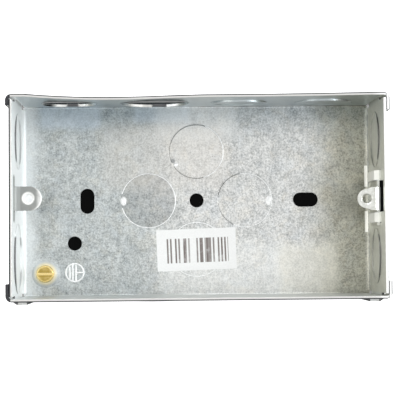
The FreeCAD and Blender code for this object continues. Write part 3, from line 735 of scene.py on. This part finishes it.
    def _outline(self, coat: Coat) -> Signal:
        """Painted shade: dark lines along the rim's outermost edge, the sheared edges of the blanks
        and the pry notches.

        Args:
            coat: the coat it's laid on.

        Returns:
            How dark each place is.
        """
        along, across, rise = coat.axes
        # Painted shade along the rim's outer edge
        left = along.fade(self.left_cut + 0.1, self.left_cut - 0.1)
        left = left.highest(across.fade(self.front_cut + 0.1, self.front_cut - 0.1))
        near, far = self.right_cut
        right = along.fade(near, near + self.cut_soft) * along.fade(far, far - self.cut_soft) * 0.6
        right = right.highest(along.fade(self.tab_cut, self.tab_cut + self.cut_soft) * 0.8)
        rear = (across + self._dented(along)).fade(self.rear_cut, self.rear_cut + self.cut_soft)
        # Painted shade along the sheared edges of the end walls' blanks
        level = coat.normal[2].fade(0.4, 0.8)
        edges = level * abs(along).fade(self.end_walls, self.end_walls + 0.3)
        edges = edges * abs(across).fade(self.lug_half, self.lug_half + 1.0)
        edges = edges * rise.fade(self.blanks_foot, self.blanks_foot + 1.0)
        edges = edges * rise.fade(self.blanks_top, self.blanks_top - 0.6)
        edges = edges * (rise.fade(self.blanks_middle, self.blanks_middle + 2.0) * 0.4 + 0.45)
        # Painted shade in the pry notches
        for notch in self.notches:
            cut = abs(along - notch.x).fade(notch.half + 0.4, notch.half - 0.4)
            cut = cut * across.fade(self.dented_wall, self.dented_wall + 1.0)
            cut = cut * rise.fade(self.rim_low + 1.0, self.rim_low) * level
            cut = cut * rise.fade(self.notch_foot, self.notch_foot + 1.0) * 0.9
            edges = edges.highest(cut)
        outer = left.highest(right).highest(rear) * rise.fade(self.rim_low, self.rim_low + 1.0)
        return outer.highest(edges)

    def _pressed(self, coat: Coat) -> Signal:
        """Rounded edges of the back's blanks and the dimples of their ties, as a height.

        Args:
            coat: the coat that they shape.

        Returns:
            The height, for the bump.
        """
        height: Signal | float = 0.0
        for blank in self.blanks:
            reach = coat.near(blank.x, blank.y, self.back)
            height = height + reach.fade(self.blank_radius + 0.35, self.blank_radius - 0.25) * 1.6
        for dimple in self.dimples:
            reach = coat.near(dimple.x, dimple.y, self.back)
            height = height - reach.fade(dimple.radius * 1.6, 0.1) * 2.0
        return height * coat.on_back


@dataclass(frozen=True)
class PlatedLug:
    """Thin bright zinc plate on the pressed adjustable lug."""

    name: str = "plated_lug"
    pale: Colour = (0.86, 0.86, 0.82)
    dark: Colour = (0.60, 0.60, 0.56)
    roughness: float = 0.33

    def make(self) -> bpy.types.Material:
        """Build the material.

        Returns:
            A material that reads the object's own coordinates.
        """
        recipe = Recipe(self.name)
        place = recipe.millimetres()
        mottle = recipe.noise(place, 2.4, 4.0, 0.6)
        grain = recipe.noise(place, 0.5, 2.0, 0.6)
        shade = (mottle + grain * 0.5).fade(0.5, 1.1)
        return recipe.finish({
            "Base Color": recipe.blend(shade, self.dark, self.pale),
            "Metallic": 1.0,
            "Roughness": self.roughness + (mottle - 0.5) * 0.2,
            "Normal": recipe.bump(mottle + grain * 0.4, 0.18, 0.08),
        })


@dataclass(frozen=True)
class TurnedBrass:
    """Turned brass, paler in the slot and on the head's rim, darker and rougher beside the slot."""

    centre: Point
    name: str = "turned_brass"
    bright: Colour = (0.86, 0.68, 0.30)
    dull: Colour = (0.46, 0.32, 0.08)
    roughness: float = 0.27
    head: float = 3.25
    slot: float = 0.5
    ring_waves: float = 26.0

    def make(self) -> bpy.types.Material:
        """Build the material.

        Returns:
            A material that reads the object's own coordinates.
        """
        recipe = Recipe(self.name)
        place = recipe.millimetres()
        reach = recipe.reach(place, self.centre)
        rings = recipe.node("ShaderNodeMath", {"operation": "SINE"}, {0: reach * self.ring_waves})
        mottle = recipe.noise(place, 1.3, 4.0, 0.6)
        across = abs(recipe.axis(place, "Y") - self.centre[1])
        rim = reach.fade(self.head - 1.0, self.head - 0.3)
        in_slot = across.fade(self.slot + 0.1, self.slot - 0.1)
        by_slot = across.fade(self.slot + 0.9, self.slot + 0.1)
        shade = mottle * 0.8 + rings * 0.05 + rim * 0.4 + in_slot * 0.6 - by_slot * 0.2
        shade = shade.fade(0.25, 0.75)
        return recipe.finish({
            "Base Color": recipe.blend(shade, self.dull, self.bright),
            "Metallic": 1.0,
            "Roughness": self.roughness + (1 - shade) * 0.16,
            "Normal": recipe.bump(rings * 0.4 + mottle, 0.15, 0.06),
        })


@dataclass(frozen=True)
class LabelPaper:
    """White paper with a plain field of upright bars, of no code."""

    centre: Point
    turn: float
    name: str = "label_paper"
    paper: Colour = (0.86, 0.86, 0.855)
    ink: Colour = (0.13, 0.10, 0.09)
    field_left: float = -11.6
    field_right: float = 12.0
    field_foot: float = -4.9
    field_top: float = 4.3
    module: float = 0.62
    field_edge: float = 0.06
    roughness: float = 0.62
    gloss: float = 0.3

    def make(self) -> bpy.types.Material:
        """Build the material.

        Returns:
            A material that reads the object's own coordinates.
        """
        recipe = Recipe(self.name)
        place = recipe.millimetres()
        sheet = recipe.moved(place, self.centre, -self.turn)
        along = recipe.axis(sheet, "X")
        across = recipe.axis(sheet, "Y")
        column = recipe.node("ShaderNodeMath", {"operation": "FLOOR"}, {0: along / self.module})
        flat = {"noise_dimensions": "1D"}
        chance = recipe.node("ShaderNodeTexWhiteNoise", flat, {"W": column}, "Value")
        inked = chance.fade(0.52, 0.56) * (0.55 + chance * 0.4)
        edge = self.field_edge
        inside = along.fade(self.field_left - edge, self.field_left + edge)
        inside = inside * along.fade(self.field_right + edge, self.field_right - edge)
        inside = inside * across.fade(self.field_foot - edge, self.field_foot + edge)
        inside = inside * across.fade(self.field_top + edge, self.field_top - edge)
        fibre = recipe.noise(place, 0.6, 3.0, 0.6)
        worn = recipe.noise(place, 3.0, 3.0, 0.6).fade(0.3, 0.5)
        shaded = tuple(0.95 * part for part in self.paper)
        white = recipe.blend(fibre.fade(0.3, 0.7), shaded, self.paper)
        return recipe.finish({
            "Base Color": recipe.blend(inside * inked * (0.7 + worn * 0.3), white, self.ink),
            "Roughness": self.roughness,
            "Specular IOR Level": self.gloss,
            "Normal": recipe.bump(fibre, 0.15, 0.03),
        })


@dataclass(frozen=True)
class PressedMark:
    """Bright raised metal of the sign and the sheared lines."""

    name: str = "raised_metal"
    pale: Colour = (1.0, 1.0, 1.0)
    dark: Colour = (0.86, 0.87, 0.87)
    metallic: float = 0.4
    roughness: float = 0.38

    def make(self) -> bpy.types.Material:
        """Build the material.

        Returns:
            A material that reads the object's own coordinates.
        """
        recipe = Recipe(self.name)
        place = recipe.millimetres()
        worn = recipe.noise(place, 1.1, 3.0, 0.6)
        return recipe.finish({
            "Base Color": recipe.blend(worn.fade(0.3, 0.65), self.dark, self.pale),
            "Metallic": self.metallic,
            "Roughness": self.roughness + worn * 0.15,
            "Normal": recipe.bump(worn, 0.2, 0.04),
        })


@dataclass(frozen=True)
class StudioSurface:
    """A plain painted surface of the studio, with a faint texture and painted shadows.

    A shadow is its low X, low Y, high X and high Y. Squares under the box's corners
    are a little paler in it, because light comes in between the lapped tabs.
    """

    name: str
    colour: Colour
    shadows: tuple[Rectangle, ...]
    shadow: Colour = (0.003, 0.003, 0.003)
    roughness: float = 0.8
    glow: float = 0.75
    border: float = 1.4
    texture: float = 40.0
    corner_along: tuple[float, float] = (62.0, 66.5)
    corner_across: tuple[float, float] = (32.5, 36.5)
    corner_share: float = 0.2

    def make(self) -> bpy.types.Material:
        """Build the material.

        Returns:
            A material that reads the object's own coordinates.
        """
        recipe = Recipe(self.name)
        place = recipe.millimetres()
        along, across = recipe.axis(place, "X"), recipe.axis(place, "Y")
        dark: Signal | float = 0.0
        for left, foot, right, top in self.shadows:
            inside = along.fade(left - self.border, left)
            inside = inside * along.fade(right + self.border, right)
            inside = inside * across.fade(foot - self.border, foot)
            dark = inside * across.fade(top + self.border, top) + dark
        dark = dark.lowest(1.0)
        faint = recipe.noise(place, self.texture, 2.0, 0.5)
        shaded = tuple(0.97 * part for part in self.colour)
        painted = recipe.blend(faint, shaded, self.colour)
        left, right = self.corner_along
        foot, top = self.corner_across
        corner = abs(along).fade(left, left + 1.0) * abs(along).fade(right, right - 0.5)
        corner = corner * abs(across).fade(foot, foot + 1.0) * abs(across).fade(top, top - 0.5)
        painted = recipe.blend(dark * (1 - corner * self.corner_share), painted, self.shadow)
        return recipe.finish({
            "Base Color": painted,
            "Roughness": self.roughness,
            "Specular IOR Level": 0.0,
            "Emission Color": painted,
            "Emission Strength": self.glow,
        })


class Slot(Enum):
    """The record's material slots."""

    STEEL = "galvanised_steel"
    LUG = "lug_steel"
    BRASS = "brass"
    PAPER = "paper"


class Body(Enum):
    """The bodies that pieces ride on."""

    BOX = "box"
    LUG = "sliding_lug"
    SCREW = "terminal_screw"


def add_piece(name: str, mesh_tool: bmesh.types.BMesh, material: bpy.types.Material,
              body: Body, smooth: float = 40.0) -> bpy.types.Object:
    """Turn a finished bmesh into a piece that rides on a body.

    Args:
        name: the piece's name.
        mesh_tool: its shape in millimetres, in the row's frame.
        material: its finish.
        body: the body it moves with.
        smooth: edges sharper than this many degrees stay sharp.

    Returns:
        The piece's object, at the origin.
    """
    bmesh.ops.scale(mesh_tool, vec=(MM, MM, MM), verts=mesh_tool.verts)
    bmesh.ops.remove_doubles(mesh_tool, verts=mesh_tool.verts, dist=1e-7)
    bmesh.ops.recalc_face_normals(mesh_tool, faces=mesh_tool.faces)
    for face in mesh_tool.faces:
        face.smooth = True
    mesh = bpy.data.meshes.new(name)
    mesh_tool.to_mesh(mesh)
    mesh_tool.free()
    mesh.set_sharp_from_angle(angle=math.radians(smooth))
    mesh.materials.append(material)
    piece = bpy.data.objects.new(name, mesh)
    bpy.context.scene.collection.objects.link(piece)
    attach(piece, body.value)
    log.info("%s: %d faces on %s", name, len(mesh.polygons), body.value)
    return piece


def dress_node(name: str, material: bpy.types.Material) -> bpy.types.Object:
    """Give a CAD node its finish.

    Args:
        name: the node's name.
        material: its finish.

    Returns:
        The node's object.
    """
    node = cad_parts[name]
    node.data.materials.clear()
    node.data.materials.append(material)
    log.info("%s: dressed in %s", name, material.name)
    return node


@dataclass(frozen=True)
class BurrArc:
    """Part of a blank's sheared line: its middle, where it begins and how far it runs."""

    x: float
    y: float
    start: float
    sweep: float


@dataclass(frozen=True)
class TieNib:
    """A low nib coined into a blank's tie: its middle and its reach each way."""

    x: float
    y: float
    along: float
    across: float


@dataclass
class BoxShell:
    """The folded case and the small things pressed into it, in millimetres and degrees."""

    sheet: float = 1.0
    sign_x: float = -46.06
    sign_y: float = -26.84
    sign_radius: float = 3.35
    sign_bars: tuple[tuple[float, float], ...] = ((-1.9, 2.3), (-0.8, 3.0), (0.4, 3.0))
    bead: float = 0.3
    bead_rise: float = 0.55
    bead_sides: int = 10
    ring_steps: int = 56
    burr: float = 0.14
    burr_rise: float = 0.4
    burr_radius: float = 10.19
    burr_step: float = 5.0
    burr_sides: int = 8
    burrs: tuple[BurrArc, ...] = (
        BurrArc(0.0, 18.5, -75.0, 145.0),
        BurrArc(-18.2, 0.0, -165.0, 330.0),
        BurrArc(18.2, 0.0, -115.0, 215.0),
        BurrArc(0.0, -18.5, 10.0, 160.0),
        BurrArc(0.0, -18.5, 190.0, 160.0),
    )
    nibs: tuple[TieNib, ...] = (
        TieNib(-7.7, 13.6, 0.8, 0.8),
        TieNib(-27.6, -0.1, 1.0, 1.6),
        TieNib(27.3, -0.2, 1.05, 1.9),
    )
    nib_rise: float = 0.3

    def dress(self) -> None:
        """Give the case its galvanised finish and add what is pressed up from its back."""
        dress_node("box_shell", GalvanisedSheet().make())
        raised = PressedMark().make()
        self.earth_sign(raised)
        for number, arc in enumerate(self.burrs, start=1):
            self.shear_burr(f"shear_burr_{number}", arc, raised)
        for number, nib in enumerate(self.nibs, start=1):
            self.tie_nib(f"tie_nib_{number}", nib, raised)

    def tie_nib(self, name: str, nib: TieNib, material: bpy.types.Material) -> bpy.types.Object:
        """The low round nib coined into the tie that holds a blank.

        Args:
            name: the piece's name.
            nib: its place and its reach.
            material: its finish.

        Returns:
            The nib's object.
        """
        tool = bmesh.new()
        bmesh.ops.create_uvsphere(tool, u_segments=24, v_segments=12, radius=1.0)
        bmesh.ops.scale(tool, vec=(nib.along, nib.across, self.nib_rise), verts=tool.verts)
        bmesh.ops.translate(tool, vec=(nib.x, nib.y, self.sheet), verts=tool.verts)
        return add_piece(name, tool, material, Body.BOX)

    def shear_burr(self, name: str, arc: BurrArc,
                   material: bpy.types.Material) -> bpy.types.Object:
        """The bright burr that the punch leaves along part of a blank's sheared line.

        Args:
            name: the piece's name.
            arc: the part it runs along, in degrees to the left of +X.
            material: its finish.

        Returns:
            The burr's object.
        """
        tool = bmesh.new()
        made = bmesh.ops.create_circle(tool, cap_ends=False, segments=self.burr_sides,
                                       radius=self.burr)
        profile = made["verts"]
        bmesh.ops.rotate(tool, verts=profile, matrix=Matrix.Rotation(math.pi / 2, 3, "X"))
        bmesh.ops.translate(tool, verts=profile, vec=(self.burr_radius, 0, 0))
        turn = Matrix.Rotation(math.radians(arc.start), 3, "Z")
        bmesh.ops.rotate(tool, verts=profile, matrix=turn)
        bmesh.ops.spin(tool, geom=tool.edges[:] + tool.verts[:], cent=(0, 0, 0), axis=(0, 0, 1),
                       angle=math.radians(arc.sweep), steps=round(arc.sweep / self.burr_step),
                       use_merge=False, use_duplicate=False)
        ends = [edge for edge in tool.edges if edge.is_boundary]
        bmesh.ops.holes_fill(tool, edges=ends, sides=self.burr_sides)
        bmesh.ops.scale(tool, vec=(1, 1, self.burr_rise), verts=tool.verts)
        bmesh.ops.translate(tool, vec=(arc.x, arc.y, self.sheet), verts=tool.verts)
        return add_piece(name, tool, material, Body.BOX)

    def earth_sign(self, material: bpy.types.Material) -> bpy.types.Object:
        """The usual earth sign pressed up beside the terminal: a ring and three bars.

        Args:
            material: its finish.

        Returns:
            The sign's object.
        """
        tool = bmesh.new()
        made = bmesh.ops.create_circle(tool, cap_ends=False, segments=self.bead_sides,
                                       radius=self.bead)
        profile = made["verts"]
        bmesh.ops.rotate(tool, verts=profile, matrix=Matrix.Rotation(math.pi / 2, 3, "X"))
        bmesh.ops.translate(tool, verts=profile, vec=(self.sign_radius, 0, 0))
        bmesh.ops.spin(tool, geom=tool.edges[:] + tool.verts[:], cent=(0, 0, 0), axis=(0, 0, 1),
                       angle=2 * math.pi, steps=self.ring_steps, use_merge=True,
                       use_duplicate=False)
        for x, half in self.sign_bars:
            self._bar(tool, (x, -half), (x, half))
        self._bar(tool, (self.sign_bars[-1][0], 0.0), (self.sign_radius, 0.0))
        bmesh.ops.scale(tool, vec=(1, 1, self.bead_rise), verts=tool.verts)
        bmesh.ops.translate(tool, vec=(self.sign_x, self.sign_y, self.sheet), verts=tool.verts)
        return add_piece("earth_sign", tool, material, Body.BOX)

    def _bar(self, tool: bmesh.types.BMesh, start: tuple[float, float],
             end: tuple[float, float]) -> None:
        """One round-topped bar of the sign between two points.

        Args:
            tool: the sign's mesh.
            start: one end of the bar.
            end: its other end.
        """
        first, last = Vector((*start, 0)), Vector((*end, 0))
        run = last - first
        made = bmesh.ops.create_cone(tool, cap_ends=True, segments=self.bead_sides,
                                     radius1=self.bead, radius2=self.bead,
                                     depth=run.length)["verts"]
        turn = Vector((0, 0, 1)).rotation_difference(run).to_matrix()
        bmesh.ops.rotate(tool, verts=made, matrix=turn)
        bmesh.ops.translate(tool, verts=made, vec=(first + last) / 2)


@dataclass
class BoreThread:
    """The turns of a thread inside a drawn hole, in millimetres."""

    name: str
    x: float
    y: float
    body: Body
    slot: Slot
    bore: float = 1.45
    pitch: float = 0.6
    depth: float = 0.14
    foot: float = 26.15
    top: float = 27.55
    flank: float = 0.32
    overlap: float = 0.03
    turn_steps: int = 36

    def cut(self, material: bpy.types.Material) -> bpy.types.Object:
        """Spin a thread's profile up the hole.

        Args:
            material: its finish.

        Returns:
            The thread's object.
        """
        turns = (self.top - self.foot) / self.pitch
        tool = bmesh.new()
        half = self.pitch * self.flank
        root = self.bore + self.overlap
        corners = ((root, -half), (self.bore - self.depth, 0.0), (root, half))
        profile = [tool.verts.new((radius, 0, self.foot + rise)) for radius, rise in corners]
        for first, last in zip(profile, profile[1:] + profile[:1]):
            tool.edges.new((first, last))
        steps = round(self.turn_steps * turns)
        bmesh.ops.spin(tool, geom=tool.edges[:] + tool.verts[:], cent=(0, 0, 0), axis=(0, 0, 1),
                       dvec=(0, 0, (self.top - self.foot) / steps), angle=2 * math.pi * turns,
                       steps=steps, use_merge=False, use_duplicate=False)
        ends = [edge for edge in tool.edges if edge.is_boundary]
        bmesh.ops.holes_fill(tool, edges=ends, sides=3)
        bmesh.ops.translate(tool, vec=(self.x, self.y, 0), verts=tool.verts)
        return add_piece(self.name, tool, material, self.body)


@dataclass(frozen=True)
class Panel:
    """A rectangular soft light that faces the box, in millimetres and watts."""

    name: str
    place: Point
    size: tuple[float, float]
    power: float
    colour: Colour

    def hang(self) -> None:
        """Put the light in the scene."""
        data = bpy.data.lights.new(self.name, "AREA")
        data.shape = "RECTANGLE"
        data.size, data.size_y = self.size[0] * MM, self.size[1] * MM
        data.energy = self.power
        data.color = self.colour
        lamp = bpy.data.objects.new(self.name, data)
        lamp.location = Vector(self.place) * MM
        lamp.rotation_euler = (-lamp.location).to_track_quat("-Z", "Y").to_euler()
        bpy.context.scene.collection.objects.link(lamp)


@dataclass
class Studio:
    """Pale floor, soft lights and the photograph's camera, in millimetres and degrees."""

    eye: Point = (-11.59, -19.37, 471.17)
    angles: Point = (2.3885, -1.5456, -0.5187)
    lens: float = 112.11
    sensor: float = 36.0
    clip: tuple[float, float] = (20.0, 20000.0)
    floor_reach: float = 2500.0
    floor_level: float = -0.02
    floor_colour: Colour = (0.95, 0.95, 0.95)
    shadow_inset: Rectangle = (0.5, 1.2, 0.5, 0.4)
    window_shadow: Rectangle = (60.0, -13.0, 71.35, 10.0)
    under_band: tuple[float, float] = (-0.92, -0.80)
    high_band: tuple[float, float] = (0.0, 0.35)
    under_light: Colour = (0.005, 0.005, 0.006)
    low_light: Colour = (0.34, 0.35, 0.35)
    high_light: Colour = (1.02, 1.03, 1.03)
    panels: tuple[Panel, ...] = (
        Panel("overhead_panel", (0, 0, 1300), (1200, 900), 0.3, (1.0, 0.99, 0.97)),
        Panel("left_panel", (-900, -150, 650), (500, 800), 1.5, (1.0, 0.98, 0.92)),
        Panel("right_panel", (950, 100, 550), (400, 800), 5.5, (0.94, 0.98, 1.0)),
        Panel("rear_panel", (-100, 900, 600), (900, 400), 4.0, (0.97, 0.99, 1.0)),
    )

    def build(self) -> None:
        """Lay the floor, hang the lights and set the camera."""
        self._floor()
        self._lights()
        self._camera()
        bpy.context.scene.view_settings.view_transform = "Standard"

    def _floor(self) -> None:
        """The floor, in deep shadow under the box, close behind it and beside its window."""
        low, high = (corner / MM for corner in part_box("box_shell"))
        left, front, right, rear = self.shadow_inset
        under_box = (low.x + left, low.y + front, high.x - right, high.y - rear)
        paint = StudioSurface("floor_paint", self.floor_colour, (under_box, self.window_shadow))
        tool = bmesh.new()
        half, level = self.floor_reach * MM, self.floor_level * MM
        corners = ((-half, -half), (half, -half), (half, half), (-half, half))
        tool.faces.new([tool.verts.new((x, y, level)) for x, y in corners])
        mesh = bpy.data.meshes.new("floor")
        tool.to_mesh(mesh)
        tool.free()
        mesh.materials.append(paint.make())
        floor = bpy.data.objects.new("floor", mesh)
        bpy.context.scene.collection.objects.link(floor)
        floor.visible_glossy = False

    def _lights(self) -> None:
        """Soft panels, and a surround that is pale above, grey beside and dark straight below."""
        recipe = Recipe("surround", bpy.data.worlds)
        towards = recipe.node("ShaderNodeTexCoord", output="Generated")
        height = recipe.axis(towards, "Z")
        beside = recipe.blend(height.fade(*self.under_band), self.under_light, self.low_light)
        shade = recipe.blend(height.fade(*self.high_band), beside, self.high_light)
        shine = recipe.node("ShaderNodeBackground", {}, {"Color": shade})
        recipe.lead_out(shine, "ShaderNodeOutputWorld")
        bpy.context.scene.world = recipe.holder
        for panel in self.panels:
            panel.hang()

    def _camera(self) -> None:
        """The camera, almost straight over the mouth of the box."""
        data = bpy.data.cameras.new("camera")
        data.lens = self.lens
        data.sensor_width = self.sensor
        data.clip_start, data.clip_end = (distance * MM for distance in self.clip)
        camera = bpy.data.objects.new("camera", data)
        camera.location = Vector(self.eye) * MM
        camera.rotation_euler = [math.radians(angle) for angle in self.angles]
        bpy.context.scene.collection.objects.link(camera)
        bpy.context.scene.camera = camera


def main() -> None:
    """Dress the box and light it."""
    logging.basicConfig(level=logging.INFO, format="%(message)s")
    BoxShell().dress()
    steel = PlatedLug().make()
    dress_node("adjustable_lug", steel)
    turns = PressedMark("thread_turns").make()
    BoreThread("fixed_lug_thread", *FIXED_EYE, Body.BOX, Slot.STEEL).cut(turns)
    BoreThread("adjustable_lug_thread", *SLIDING_EYE, Body.LUG, Slot.LUG).cut(steel)
    low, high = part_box("earth_screw")
    middle = (low + high) / (2 * MM)
    dress_node("earth_screw", TurnedBrass((middle.x, middle.y, high.z / MM)).make())
    low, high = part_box("paper_label")
    middle = (low + high) / (2 * MM)
    dress_node("paper_label", LabelPaper((middle.x, middle.y, high.z / MM), LABEL_TURN).make())
    Studio().build()


if __name__ == "__main__":
    main()
